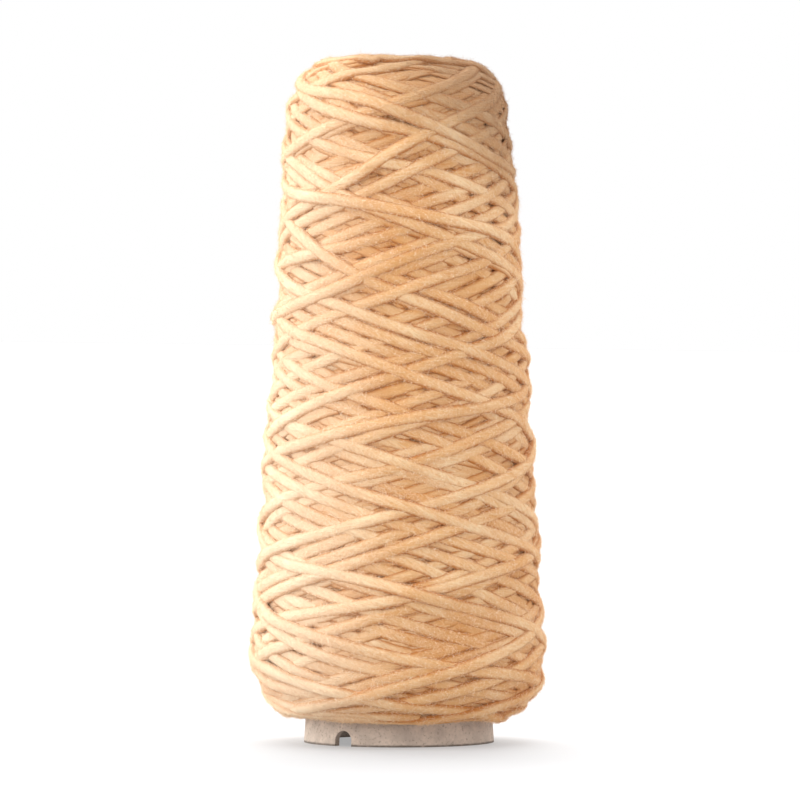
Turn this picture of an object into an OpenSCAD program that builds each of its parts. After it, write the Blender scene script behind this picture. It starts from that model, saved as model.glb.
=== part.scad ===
// A package of thick single-ply yarn, cross-wound on a tapered board cone.
// The origin is the centre of the cone's foot, with +Z up the axis. The thread notch faces -Y.

/* [Board cone] */
// Height of the board cone from foot to nose
cone_h = 230; // [200:1:290]
// Outside diameter of the cone at its foot
foot_d = 65; // [60:0.5:75]
// Half angle of the cone's taper, in degrees
taper = 3.5; // [3:0.1:4.2]
// Thickness of the rolled board
board_wall = 2; // [1.6:0.1:2.6]
// Thickness of the paper wrapped round the board
wrap_wall = 0.4; // [0.3:0.05:0.6]
// Gap where the two edges of the paper wrap meet
seam_w = 0.5; // [0.3:0.1:1]
// Thickness of the rolled-in lip at the nose
nose_roll = 3.6; // [3:0.1:5]

/* [Thread notch] */
// Width of the notch in the foot's edge
notch_w = 6.8; // [5:0.1:8.8]
// Height of the notch above the foot's edge
notch_h = 5.3; // [4.5:0.1:7.5]

/* [Yarn package] */
// Depth of yarn over the cone
build_up = 18.3; // [17:0.1:24]
// Height of bare cone below the yarn
bare_foot = 8.5; // [6:0.5:20]
// Height of the yarn's crown above the cone's nose
crown_rise = 3; // [1:0.5:5]
// Rounding of the package's foot end, measured across
foot_round_w = 16; // [14:0.5:17]
// Rounding of the package's foot end, measured upwards
foot_round_h = 22; // [16:0.5:28]
// Rounding of the package's crown end, measured across
crown_round_w = 17; // [14:0.5:17]
// Rounding of the package's crown end, measured upwards
crown_round_h = 17; // [14:0.5:24]

/* [Outer winding] */
// Width of the yarn, which lies a little flattened
strand_w = 4.6; // [3.4:0.1:5.2]
// Thickness of the yarn
strand_t = 3.2; // [2.4:0.1:3.8]
// Double strokes of the yarn guide, each of them down the package and back up
strokes = 4; // [3:1:4]
// Turns in a double stroke, before the share that sets the next one beside it
stroke_turns = 6; // [4:1:6]
// Clear gap between two strands that cross
cross_gap = 0.6; // [0.5:0.1:1.2]
// How far round each rounded end the winding turns back, in degrees
end_reach = 60; // [50:1:64]
// Depth of the holes in the inner yarn that the winding's two ends are tucked into
tuck_depth = 3; // [2:0.5:4]
// Side of the package where the winding begins and ends, in degrees from +X
tuck_side = 126; // [0:1:359]

/* [Hidden] */
board_colour = [0.70, 0.65, 0.60];
wrap_colour = [0.76, 0.71, 0.66];
inner_colour = [0.86, 0.66, 0.45];
outer_colour = [0.95, 0.80, 0.62];

glue_gap = 0.05;                // between the board and its paper wrap
seat_gap = 0.3;                 // between the yarn and what it lies on
tuck_gap = 0.4;                 // round each tucked end
turn_rings = 24;                // rings of the swept tube in one turn
strand_sides = 6;               // sides of the swept tube
bend_steps = 4;                 // rings round the bend at each end of the tube
arc_steps = 10;                 // straight pieces in each rounded outline
turn_step = 360 / turn_rings;

// ---- The cone's outline ----
function wrap_r(z) = foot_d / 2 - z * tan(taper);
function board_r(z) = wrap_r(z) - wrap_wall - glue_gap;

lip_r = nose_roll / 2;
lip_z = cone_h - lip_r;
lip_mid = board_r(lip_z) - lip_r;
lip_end = 360 - acos(1 - board_wall / lip_r);
wrap_top = lip_z - lip_r;

board_outline = concat(
    [[board_r(0) - board_wall, 0], [board_r(0), 0]],
    [for (i = [0 : arc_steps]) let (a = lip_end * i / arc_steps)
        [lip_mid + lip_r * cos(a), lip_z + lip_r * sin(a)]]
);

wrap_outline = [
    [board_r(0) + glue_gap, 0],
    [wrap_r(0), 0],
    [wrap_r(wrap_top), wrap_top],
    [board_r(wrap_top) + glue_gap, wrap_top]
];

// ---- The package's outline, as the outside of its yarn less an inset ----
foot_z = bare_foot + foot_round_h;
crown_z = cone_h + crown_rise;
neck_z = crown_z - crown_round_h;
foot_mid = wrap_r(foot_z) + build_up - foot_round_w;
neck_mid = wrap_r(neck_z) + build_up - crown_round_w;
foot_arc = 90 * PI / 180 * sqrt((pow(foot_round_w, 2) + pow(foot_round_h, 2)) / 2);
crown_arc = 90 * PI / 180 * sqrt((pow(crown_round_w, 2) + pow(crown_round_h, 2)) / 2);
side_run = norm([foot_mid + foot_round_w - neck_mid - crown_round_w, neck_z - foot_z]);

// Distance s runs up the outline. It is 0 where the rounded foot meets the straight side.
function round_angle(s) = s < 0 ? 90 * s / foot_arc : s > side_run ? 90 * (s - side_run) / crown_arc : 0;
function side_point(s) = let (t = s / side_run) (1 - t) * [foot_mid + foot_round_w, foot_z]
    + t * [neck_mid + crown_round_w, neck_z];
function package_point(s, inset) = let (a = round_angle(s), out = [cos(a), sin(a)])
    (s < 0 ? [foot_mid + foot_round_w * cos(a), foot_z + foot_round_h * sin(a)]
    : s > side_run ? [neck_mid + crown_round_w * cos(a), neck_z + crown_round_h * sin(a)]
    : side_point(s)) - inset * out;

// ---- The winding's two layers ----
chord_dip = (foot_mid + foot_round_w) * (1 - cos(turn_step / 2));
over_inset = strand_t / 2;
under_inset = over_inset + strand_t + cross_gap;
inner_inset = under_inset + strand_t / 2 + chord_dip + seat_gap;
cap_angle = end_reach + 18;     // the end faces are inner turns from here, clear of the winding

foot_wound = -foot_arc * cap_angle / 90;
crown_wound = side_run + crown_arc * cap_angle / 90;
foot_reach = -foot_arc * end_reach / 90;
crown_reach = side_run + crown_arc * end_reach / 90;
half_stroke = 180 * (stroke_turns - 1 / strokes);   // degrees from one reversal to the next
cross_step = 180 / strokes;                         // degrees from a reversal to the first crossing
climb_reach = cross_step - 5;                       // a strand changes layer inside this
ease_reach = 30;                                    // a reversal is rounded inside this
tuck_angle = 20;                                    // the tube's ends keep this far from their reversal
wind_start = tuck_angle;
wind_end = 2 * half_stroke * strokes - tuck_angle;

function smooth(t) = let (u = min(1, max(0, t))) u * u * (3 - 2 * u);
function in_stroke(a) = a - 2 * half_stroke * floor(a / (2 * half_stroke));
// Degrees to the nearest reversal at the crown, rounded off at both reversals.
function eased(d) = d < ease_reach ? ease_reach / 2 + d * d / (2 * ease_reach)
    : d > half_stroke - ease_reach ? half_stroke - eased(half_stroke - d) : d;
function fall(a) = let (d = half_stroke - abs(half_stroke - in_stroke(a)), rest = ease_reach / 2)
    (eased(d) - rest) / (half_stroke - 2 * rest);
function run_at(a) = crown_reach + (foot_reach - crown_reach) * fall(a);
// 0 in the outer layer on the way down, and 1 in the layer below it on the way up.
function depth_at(a) = let (b = in_stroke(a))
    b < half_stroke + climb_reach ? smooth((b - half_stroke + climb_reach) / (2 * climb_reach))
    : 1 - smooth((b - 2 * half_stroke + climb_reach) / (climb_reach - tuck_angle));
function inset_at(a) = over_inset + (under_inset - over_inset) * depth_at(a);
function turned(p, a) = [p[0] * cos(a + tuck_side), p[0] * sin(a + tuck_side), p[1]];
function wind_point(a) = turned(package_point(run_at(a), inset_at(a)), a);

function unit(v) = v / norm(v);
function square_to(v, w) = unit(v - (v * w) * w);
// A stop of the route is its place, the way that it runs, and the way up the package's side.
function up_side(a) = unit(turned(package_point(run_at(a) + 1, 0) - package_point(run_at(a) - 1, 0), a));
function wind_stop(a) = [wind_point(a), unit(wind_point(a + 1) - wind_point(a - 1)), up_side(a)];

// Each end of the tube bends inwards, and then runs straight for one width of yarn.
bend_r = inner_inset + tuck_depth - seat_gap - strand_w - over_inset;
function outward(a) = let (b = round_angle(run_at(a))) turned([cos(b), sin(b)], a);
function tuck(a, side) = let (
        stop = wind_stop(a),
        out = outward(a),
        way = square_to(side * stop[1], out),
        hub = stop[0] - bend_r * out
    ) concat(
        [[hub + bend_r * way - strand_w * out, -side * out, stop[2]]],
        [for (i = [0 : bend_steps]) let (b = 90 * i / bend_steps)
            [hub + bend_r * (cos(b) * way + sin(b) * out), side * (sin(b) * way - cos(b) * out), stop[2]]]
    );
function reversed(list) = [for (i = [len(list) - 1 : -1 : 0]) list[i]];

first_tuck = tuck(wind_start, -1);
last_tuck = tuck(wind_end, 1);
route = concat(
    first_tuck,
    [for (a = [wind_start + turn_step : turn_step : wind_end - turn_step / 2]) wind_stop(a)],
    reversed(last_tuck)
);

// ---- The swept tube ----
function ring(stop) = let (side = square_to(stop[2], stop[1]), out = cross(side, stop[1]))
    [for (k = [0 : strand_sides - 1]) let (b = 360 * k / strand_sides)
        stop[0] + strand_t / 2 * cos(b) * out + strand_w / 2 * sin(b) * side];

module swept(stops) {
    points = [for (stop = stops) each ring(stop)];
    last = len(stops) - 1;
    walls = [for (i = [0 : last - 1], k = [0 : strand_sides - 1], half = [0, 1]) let (
            here = i * strand_sides,
            next = here + strand_sides,
            other = (k + 1) % strand_sides
        ) half == 0 ? [here + k, next + k, next + other] : [here + k, next + other, here + other]];
    tail = last * strand_sides;
    caps = [for (k = [1 : strand_sides - 2]) each [[0, k, k + 1], [tail, tail + k + 1, tail + k]]];
    polyhedron(points, concat(walls, caps));
}

// The least gap between two strands, measured between the rings and the middles of the runs between them.
function midway(stops) = [for (i = [0 : len(stops) - 2], m = [0, 1])
    m == 0 ? stops[i][0] : (stops[i][0] + stops[i + 1][0]) / 2];
function least_gap(points, skip) = min([for (i = [0 : len(points) - 1], j = [i + skip : 1 : len(points) - 1])
    if (abs(points[j][2] - points[i][2]) < 2 * strand_w) norm(points[j] - points[i])]) - strand_t;

// ---- The pieces ----
module notch() {
    round_r = notch_w / 2;
    translate([0, 0, notch_h - round_r]) rotate([90, 0, 0]) cylinder(r = round_r, h = foot_d, $fn = 48);
    translate([-round_r, -foot_d, -1]) cube([notch_w, foot_d, notch_h - round_r + 1]);
}

module board_cone() {
    color(board_colour) difference() {
        rotate_extrude($fn = 96) polygon(board_outline);
        notch();
    }
}

module paper_wrap() {
    color(wrap_colour) difference() {
        rotate_extrude($fn = 96) polygon(wrap_outline);
        notch();
        translate([-seam_w / 2, 0, -1]) cube([seam_w, foot_d, cone_h]);
    }
}

// The hole in the inner yarn that takes one end of the winding.
module tuck_hole(stops) {
    out = unit(stops[1][0] - stops[0][0]);
    translate(stops[0][0] - seat_gap * out) rotate([0, acos(out[2]), atan2(out[1], out[0])])
        cylinder(d = strand_w + 2 * tuck_gap, h = 2 * strand_w, $fn = 48);
}

module inner_yarn() {
    foot_face = foot_arc + foot_wound;
    crown_face = side_run + crown_arc - crown_wound;
    crown_step = (crown_wound - side_run) / arc_steps;
    color(inner_colour) difference() {
        rotate_extrude($fn = 96) polygon(concat(
            [[wrap_r(bare_foot) + seat_gap, bare_foot]],
            [for (i = [0 : 2]) package_point(foot_face * i / 2 - foot_arc, 0)],
            [for (i = [0 : arc_steps]) package_point(foot_wound * (1 - i / arc_steps), inner_inset)],
            [for (i = [0 : arc_steps]) package_point(side_run + crown_step * i, inner_inset)],
            [for (i = [2 : -1 : 0]) package_point(side_run + crown_arc - crown_face * i / 2, 0)],
            [[wrap_r(crown_z) + seat_gap, crown_z]]
        ));
        tuck_hole(first_tuck);
        tuck_hole(last_tuck);
    }
}

module outer_yarn() {
    echo(loops = (wind_end - wind_start) / 360, least_gap_mm = least_gap(midway(route), turn_rings));
    color(outer_colour) swept(route);
}

board_cone();
paper_wrap();
inner_yarn();
outer_yarn();
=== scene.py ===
"""A cone of chunky single-ply yarn on a paperboard tube: its winding, fuzz, board finish and studio stage."""

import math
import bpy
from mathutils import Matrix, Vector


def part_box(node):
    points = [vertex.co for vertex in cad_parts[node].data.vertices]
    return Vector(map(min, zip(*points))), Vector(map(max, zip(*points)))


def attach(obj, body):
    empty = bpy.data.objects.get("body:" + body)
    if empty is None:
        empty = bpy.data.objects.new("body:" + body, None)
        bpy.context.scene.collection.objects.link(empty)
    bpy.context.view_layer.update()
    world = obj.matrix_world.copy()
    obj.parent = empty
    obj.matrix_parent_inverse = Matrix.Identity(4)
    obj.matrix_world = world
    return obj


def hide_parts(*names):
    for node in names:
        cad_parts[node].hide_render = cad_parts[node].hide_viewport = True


bl_info = {
    "name": "Yarn Cone",
    "version": (1, 0, 0),
    "blender": (4, 5, 0),
    "location": "View3D > Sidebar > Yarn Cone",
    "description": "Winds a cone of soft single-ply yarn on its paperboard tube and sets a plain studio round it",
    "category": "Object",
}

import bmesh
import bpy
import numpy as np
from bpy.props import FloatProperty, FloatVectorProperty, IntProperty, PointerProperty
from mathutils import Vector

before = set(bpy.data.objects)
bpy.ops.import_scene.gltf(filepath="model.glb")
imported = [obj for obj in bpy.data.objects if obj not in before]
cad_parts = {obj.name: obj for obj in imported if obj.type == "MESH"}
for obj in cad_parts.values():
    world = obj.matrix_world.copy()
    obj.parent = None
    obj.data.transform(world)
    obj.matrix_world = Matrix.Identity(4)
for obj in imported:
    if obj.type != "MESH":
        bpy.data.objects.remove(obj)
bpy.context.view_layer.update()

MM = 0.001
FULL_TURN = 2 * math.pi
YARN_LOW, YARN_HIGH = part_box("outer_yarn")

# The winding's working grid and path
CELL = 0.5 * MM
COLUMNS = 540
RINGS_A_TURN = 84
WINDING_SEED = 5

# How square the package's rounded ends are: at 2 they would be ellipses
FOOT_POWER, CROWN_POWER = 2.3, 1.95

# The front of the package, as an angle about the cone's axis, and the angles off it at which the lead strands are held
FRONT = math.radians(-54)
LEAD_ANGLES = np.radians([-60, -30, 0, 30, 60])

# The lead strands, which lie on top at the front: which way they run, how many later strokes
# may lie over them, and their heights in mm at LEAD_ANGLES, from left to right
LEADS = (
    ("falling", 0, (222, 222, 215, 206, 197)),
    ("rising", 0, (150, 156, 166, 173, 176)),
    ("rising", 0, (67, 73, 79, 86, 92)),
    ("falling", 0, (42, 38, 31, 26, 25)),
    ("falling", 0, (187, 186, 181, 177, 173)),
    ("rising", 0, (42, 46, 50, 57, 62)),
    ("rising", 1, (111, 120, 127, 135, 139)),
    ("falling", 1, (154, 150, 142, 136, 129)),
    ("falling", 2, (109, 104, 97, 89, 82)),
    ("falling", 2, (140, 135, 127, 119, 112)),
    ("falling", 2, (63, 60, 54, 48, 42)),
    ("falling", 3, (90, 83, 75, 68, 61)),
    ("falling", 3, (174, 164, 154, 145, 137)),
    ("rising", 3, (182, 190, 203, 212, 218)),
    ("rising", 4, (178, 184, 194, 203, 210)),
    ("rising", 3, (100, 106, 111, 115, 118)),
)

# The guide: the parts of a stroke over which it turns round, how near it comes to the outline's ends,
# in mm how far that wanders, and in turns how much one stroke differs from the next
FOOT_EASE, CROWN_EASE = 0.14, 0.1
END_MARGIN = 1.5 * MM
FOOT_WANDER, CROWN_WANDER = 2, 1.5
STROKE_JITTER = 0.004

# The path's wandering: how far in mm, with how many turns between its bends. It calms down near the ends.
PATH_WAVES = ((1.1, 0.3), (2.4, 1.3))
CALM_ENDS = 24 * MM

# The strand's own wandering in thickness and dye: how much, with how many turns between its changes
SLUB_WAVES, SLUB_RANGE = ((1, 0.25), (0.5, 0.07)), (0.62, 1.4)
DYE_WAVES = ((0.3, 0.9), (0.3, 0.14))

# A lead strand goes back to its own path over this angle, and a pass for it is chosen as if
# each stroke further from the top made it miss by this many mm more
LEAD_FADE = math.radians(110)
STROKE_COST = 7
LEAD_CHOICES = 7

# How far a strand may slide off its plan, how far under its neighbours it counts as hidden, where across it that is
# tried, and the height over which it is pressed flatter. The last rings dive under the winding, so that no end shows.
FREE_SLIDE = 4 * MM
JUST_UNDER = 0.25 * MM
ACROSS = (-0.7, -0.35, 0, 0.35, 0.7)
PRESS_HEIGHT = 2.6 * MM
TUCK_RINGS, TUCK_DEPTH = 14, 7 * MM

# The strokes that are kept as pieces, counted back from the last
OUTER_STROKES_SHOWN, MIDDLE_STROKES_SHOWN, DEEP_STROKES_SHOWN = 26, 52, 68
LEAST_SHOWN = 0.004

# The core: how deep it lies, how high its ridges are and how far apart, and how many ridges climb in one turn
CORE_SUNK, CORE_RIDGE, CORE_PITCH, CORE_CLIMB = 2.2 * MM, 0.8 * MM, 4.1 * MM, 20
CORE_COLUMNS = 300

# The layers of fuzz: the piece, the turns it grows on, its fibres' length, rise and curl, and its seed
DOWN = (
    ("yarn_outer_down", "yarn_outer_turns", 2.4 * MM, 0.15, 1.0 * MM, 11),
    ("yarn_outer_nap", "yarn_outer_turns", 1.6 * MM, 0.3, 0.8 * MM, 14),
    ("yarn_outer_lint", "yarn_outer_turns", 2.0 * MM, 0.2, 0.9 * MM, 15),
    ("yarn_outer_haze", "yarn_outer_turns", 1.8 * MM, 0.15, 0.8 * MM, 16),
    ("yarn_outer_flock", "yarn_outer_turns", 2.8 * MM, 0.12, 1.2 * MM, 17),
    ("yarn_middle_down", "yarn_middle_turns", 2.0 * MM, 0.2, 0.9 * MM, 13),
)
STRAYS = (("yarn_strays", "yarn_outer_turns", 4.5 * MM, 0.2, 2.0 * MM, 12),)

# Painted shade on the crown's upper right side, away from the key light: a direction, where along it the shade begins,
# and over what length it comes on
CROWN_SHADE_TOWARD = (0.65 * math.cos(math.radians(36)), 0.65 * math.sin(math.radians(36)), 0.8)
CROWN_SHADE_FROM, CROWN_SHADE_REACH, CROWN_SHADE_MOST = 166 * MM, 34 * MM, 0.74

# A painted highlight on the side towards the key light: a direction, and how far from the axis the highlight begins
# and is full
HIGHLIGHT_TOWARD = (-math.cos(math.radians(56)), -math.sin(math.radians(56)), 0)
HIGHLIGHT_FROM, HIGHLIGHT_TO, HIGHLIGHT_MOST = 12 * MM, 50 * MM, 0.5

# The studio's colours
KEY_TINT, SIDE_TINT = (0.92, 0.99, 1.0), (0.86, 0.97, 1.0)
FLOOR_TINTS = (0.31, 0.31, 0.315), (0.32, 0.32, 0.325)
FLOOR_GLOW = 0.37
FLOOR_HALF = 6.0

# How far the camera aims to the right of the axis
AIM_ASIDE = 0.34 * MM


# ---------------------------------------------------------------- settings


def metres(name, description, default, least, most, precision=4):
    """A setting that is a length."""
    return FloatProperty(name=name, description=description, default=default, min=least, max=most,
                         unit="LENGTH", precision=precision)


def amount(name, description, default, least, most):
    """A setting that is a plain number."""
    return FloatProperty(name=name, description=description, default=default, min=least, max=most)


def tint(name, description, default):
    """A setting that is a colour."""
    return FloatVectorProperty(name=name, description=description, default=default, size=3, subtype="COLOR",
                               min=0, max=1)


class WindingSizes(bpy.types.PropertyGroup):
    """The wound package's outline and the strand it is wound from."""

    foot_radius: metres("Foot face radius", "Inner radius of the package's foot face", 33 * MM, 0.02, 0.1)
    foot_round_width: metres(
        "Foot rounding width", "How far the foot's rounding reaches outwards", 17 * MM, 0.002, 0.05)
    foot_round_height: metres("Foot rounding height", "How far the foot's rounding reaches up", 22 * MM, 0.002, 0.05)
    crown_radius: metres("Crown face radius", "Inner radius of the package's crown face", 18.6 * MM, 0.01, 0.1)
    crown_round_width: metres(
        "Crown rounding width", "How far the crown's rounding reaches outwards", 19.4 * MM, 0.002, 0.05)
    crown_round_height: metres(
        "Crown rounding height", "How far the crown's rounding reaches down", 19 * MM, 0.002, 0.05)
    crown_fullness: metres(
        "Crown fullness", "How far the last turns rise over the crown of the solid yarn", 2.2 * MM, 0, 0.01)
    foot_fullness: metres(
        "Foot fullness", "How far the last turns hang under the foot of the solid yarn", 3.4 * MM, 0, 0.01)
    strand_width: metres("Strand width", "Width of the strand as it lies on the package", 4.7 * MM, 0.5 * MM, 0.02)
    strand_thickness: metres(
        "Strand thickness", "Thickness of the strand, pressed a little flat", 3.0 * MM, 0.5 * MM, 0.02)
    slub: amount("Slub", "How much the strand's thickness wanders along it", 0.17, 0, 0.3)
    turns_a_stroke: amount(
        "Turns a stroke", "Turns that the guide lays on its way from one end to the other", 3.1, 1, 12)
    inner_strokes: IntProperty(
        name="Inner strokes", description="Strokes of the guide below the last ones", default=60, min=4, max=200)
    outer_strokes: IntProperty(
        name="Outer strokes", description="Last strokes, which lie side by side in crossing bands",
        default=60, min=4, max=120)
    band_step: amount("Band step", "Part of a turn between neighbouring strands of a band", 0.0648, 0, 0.5)
    last_angle: FloatProperty(
        name="Last angle", description="Where the last stroke ends, round the cone's axis",
        default=math.radians(340), subtype="ANGLE", unit="ROTATION")
    bed: metres("Bed", "How far the mean of the strands' tops lies inside the package's outline", 0.1 * MM, 0, 0.005)


class YarnFinish(bpy.types.PropertyGroup):
    """The yarn's colours and its fuzz."""

    light: tint("Light fibres", "Colour of the palest fibres", (1.0, 0.77, 0.49))
    mid: tint("Yarn", "Colour of most of the yarn", (0.78, 0.39, 0.14))
    # Painted shade for yarn that lies low in the winding, under later strands
    deep: tint("Deep fibres", "Colour between the fibres and low in the winding", (0.58, 0.20, 0.04))
    # Painted shade along each strand's edges, where neighbouring strands meet
    crease_shade: tint("Creases", "Colour where neighbouring strands meet", (0.56, 0.19, 0.04))
    # A painted highlight: paler colour on the side towards the key light
    painted_highlight: tint("Faded fibres", "Colour of the side that stood in the light", (0.96, 0.82, 0.66))
    # Painted shade on the crown's upper right side, away from the key light
    crown_shade: tint("Painted crown shade", "Colour of the shaded side of the crown", (0.34, 0.17, 0.08))
    twist: metres("Twist", "Length of strand in which its fibres go once round it", 45 * MM, 0.005, 1)
    down_count: amount("Down", "Short fibres on a square metre of strand", 560000, 0, 900000)
    stray_count: amount("Stray fibres", "Long fibres on a square metre of strand", 13000, 0, 400000)
    fibre_thickness: metres("Fibre thickness", "Thickness of one fibre of the fuzz", 0.09 * MM, 0.01 * MM, 0.001, 5)


class BoardFinish(bpy.types.PropertyGroup):
    """The paperboard tube's colours."""

    board: tint("Board", "Colour of the tube's raw paperboard", (0.46, 0.36, 0.295))
    wrap: tint("Wrap", "Colour of the paper wound round the tube", (0.64, 0.51, 0.42))
    fleck: tint("Flecks", "Colour of the flecks of bark and ink in the pulp", (0.17, 0.12, 0.09))


class StageSettings(bpy.types.PropertyGroup):
    """The studio: where the camera stands and how bright its lights are."""

    camera_angle: FloatProperty(
        name="Camera angle", description="How far round the cone the camera stands",
        default=math.radians(36), subtype="ANGLE", unit="ROTATION")
    camera_distance: metres("Camera distance", "Distance from the cone's axis", 3.0, 0.2, 20)
    camera_height: metres("Camera height", "Height above the floor", 0.189, 0, 5)
    aim_height: metres("Aim height", "Height on the cone's axis at the middle of the picture", 0.1169, 0, 1)
    lens: amount("Lens", "Focal length in millimetres", 395, 20, 1000)
    key: amount("Key light", "Strength of the light at the left", 4.1, 0, 20)
    top: amount("Top light", "Strength of the light overhead", 0.75, 0, 20)
    back: amount("Back light", "Strength of the light behind", 0.9, 0, 20)
    side: amount("Side light", "Strength of the faint light from the right", 0.3, 0, 20)
    sweep: amount("Sweep light", "Strength of the light on the paper, from behind", 3.4, 0, 20)
    room: amount("Room light", "Brightness of the white room", 1.12, 0, 5)


# ---------------------------------------------------------------- small tools


def ease(values, reach):
    """The values smoothed over reach points either way, with their ends held."""
    window = np.hanning(2 * reach + 3)[1:-1]
    padded = np.pad(values, reach, mode="edge")
    return np.convolve(padded, window / window.sum(), "valid")


def wander(rng, count, wave):
    """Smooth random numbers of about unit spread that turn about every wave points."""
    knots = rng.normal(size=int(count / wave) + 4)
    place = np.linspace(1, len(knots) - 3, count)
    low = place.astype(int)
    share = place - low
    share = share * share * (3 - 2 * share)
    return knots[low] * (1 - share) + knots[low + 1] * share


def waves(rng, count, parts):
    """Wandering added up from parts, each with its reach and the turns of the winding between its bends."""
    return sum(reach * wander(rng, count, RINGS_A_TURN * wave) for reach, wave in parts)


def unit(rows):
    """Each row of vectors at length one."""
    return rows / np.linalg.norm(rows, axis=-1, keepdims=True)


def node(tree, kind, inputs=None, **options):
    """Adds a node, sets its options, and fills its inputs by name or number with values or other nodes' outputs."""
    made = tree.nodes.new(kind)
    for name, value in options.items():
        setattr(made, name, value)
    for key, value in (inputs or {}).items():
        socket = made.inputs[key]
        if isinstance(value, bpy.types.NodeSocket):
            tree.links.new(value, socket)
        else:
            socket.default_value = value
    return made


def maths(tree, operation, *values, clamp=False):
    """The result of a Math node."""
    return node(tree, "ShaderNodeMath", dict(enumerate(values)), operation=operation, use_clamp=clamp).outputs[0]


def dot(tree, a, b):
    """The dot product of two vectors."""
    return node(tree, "ShaderNodeVectorMath", {0: a, 1: b}, operation="DOT_PRODUCT").outputs["Value"]


def scaled(tree, vector, factor):
    """A vector times a number."""
    return node(tree, "ShaderNodeVectorMath", {0: vector, "Scale": factor}, operation="SCALE").outputs[0]


def stretched(tree, vector, factors):
    """A vector with each of its parts times its own factor."""
    return node(tree, "ShaderNodeVectorMath", {0: vector, 1: factors}, operation="MULTIPLY").outputs[0]


def ramp(tree, value, low, high, to_low=0.0, to_high=1.0, smooth=False):
    """A value carried from one range to another and held at its ends."""
    inputs = {"Value": value, "From Min": low, "From Max": high, "To Min": to_low, "To Max": to_high}
    kind = "SMOOTHSTEP" if smooth else "LINEAR"
    return node(tree, "ShaderNodeMapRange", inputs, interpolation_type=kind).outputs["Result"]


def noise(tree, place, scale, detail=2.0, roughness=0.5):
    """The value of a Noise Texture."""
    inputs = {"Vector": place, "Scale": scale, "Detail": detail, "Roughness": roughness}
    return node(tree, "ShaderNodeTexNoise", inputs).outputs[0]


def named(tree, name, kind="FLOAT"):
    """A mesh's named attribute, in a geometry tree."""
    return node(tree, "GeometryNodeInputNamedAttribute", {"Name": name}, data_type=kind).outputs["Attribute"]


def stored(tree, geometry, name, value, kind="FLOAT"):
    """The geometry with a named attribute stored on its points."""
    inputs = {"Geometry": geometry, "Name": name, "Value": value}
    made = node(tree, "GeometryNodeStoreNamedAttribute", inputs, data_type=kind, domain="POINT")
    return made.outputs["Geometry"]


def tidy(tree):
    """Sets the nodes out in rows so that the tree can be read."""
    for number, each in enumerate(tree.nodes):
        each.location = (220 * (number % 8), -260 * (number // 8))


def input_id(tree, name):
    """The identifier of a node group's input."""
    return next(
        item.identifier for item in tree.interface.items_tree
        if item.item_type == "SOCKET" and item.in_out == "INPUT" and item.name == name)


def geometry_tree(name, sizes):
    """A new geometry node group with a geometry input and output and the named inputs in sizes."""
    tree = bpy.data.node_groups.new(name, "GeometryNodeTree")
    tree.interface.new_socket("Geometry", in_out="INPUT", socket_type="NodeSocketGeometry")
    for label, kind, default in sizes:
        socket = tree.interface.new_socket(label, in_out="INPUT", socket_type=kind)
        if default is not None:
            socket.default_value = default
    tree.interface.new_socket("Geometry", in_out="OUTPUT", socket_type="NodeSocketGeometry")
    return tree


def grow(name, mesh, tree, values):
    """Runs a geometry node tree on a mesh and keeps the result as a plain mesh object of that name."""
    obj = bpy.data.objects.new(name, mesh)
    bpy.context.scene.collection.objects.link(obj)
    modifier = obj.modifiers.new(tree.name, "NODES")
    modifier.node_group = tree
    for label, value in values.items():
        modifier[input_id(tree, label)] = value
    bpy.context.view_layer.update()
    graph = bpy.context.evaluated_depsgraph_get()
    made = bpy.data.meshes.new_from_object(
        obj.evaluated_get(graph), preserve_all_data_layers=True, depsgraph=graph)
    obj.modifiers.clear()
    obj.data = made
    made.name = name
    bpy.data.meshes.remove(mesh)
    if not made.polygons:
        raise RuntimeError(f"{name} came out empty")
    return obj


def attribute(mesh, name, kind, values):
    """Gives a mesh's points a named attribute."""
    layer = mesh.attributes.new(name, kind, "POINT")
    key = "vector" if kind == "FLOAT_VECTOR" else "value"
    layer.data.foreach_set(key, np.asarray(values, np.float32).ravel())


# ---------------------------------------------------------------- winding


class Outline:
    """The package's outline from its foot face to its crown, with the distance s along it."""

    def __init__(self, sizes):
        turn = np.radians(np.linspace(0, 90, 120))
        foot_r, foot_z = self.rounded(turn, sizes.foot_round_width, sizes.foot_round_height, FOOT_POWER)
        crown_r, crown_z = self.rounded(turn, sizes.crown_round_width, sizes.crown_round_height, CROWN_POWER)
        r = np.concatenate([sizes.foot_radius + foot_r[::-1], sizes.crown_radius + crown_r])
        z = np.concatenate([
            YARN_LOW.z - sizes.foot_fullness + sizes.foot_round_height - foot_z[::-1],
            YARN_HIGH.z + sizes.crown_fullness - sizes.crown_round_height + crown_z])
        run = np.concatenate([[0], np.cumsum(np.hypot(np.diff(r), np.diff(z)))])
        self.s = np.arange(0, run[-1], CELL)
        self.r = np.interp(self.s, run, r)
        self.z = np.interp(self.s, run, z)
        dr, dz = ease(np.gradient(self.r), 4), ease(np.gradient(self.z), 4)
        length = np.hypot(dr, dz)
        self.out_r, self.out_z = dz / length, -dr / length
        self.end = self.s[-1]

    @staticmethod
    def rounded(turn, width, height, power):
        """A quarter of a superellipse."""
        return width * np.cos(turn) ** (2 / power), height * np.sin(turn) ** (2 / power)

    def at(self, s, values):
        """The outline's values at a distance along it."""
        return np.interp(s, self.s, values)

    def s_at(self, z):
        """The distance along the outline at a height on its side."""
        return np.interp(z, self.z, self.s)


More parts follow.
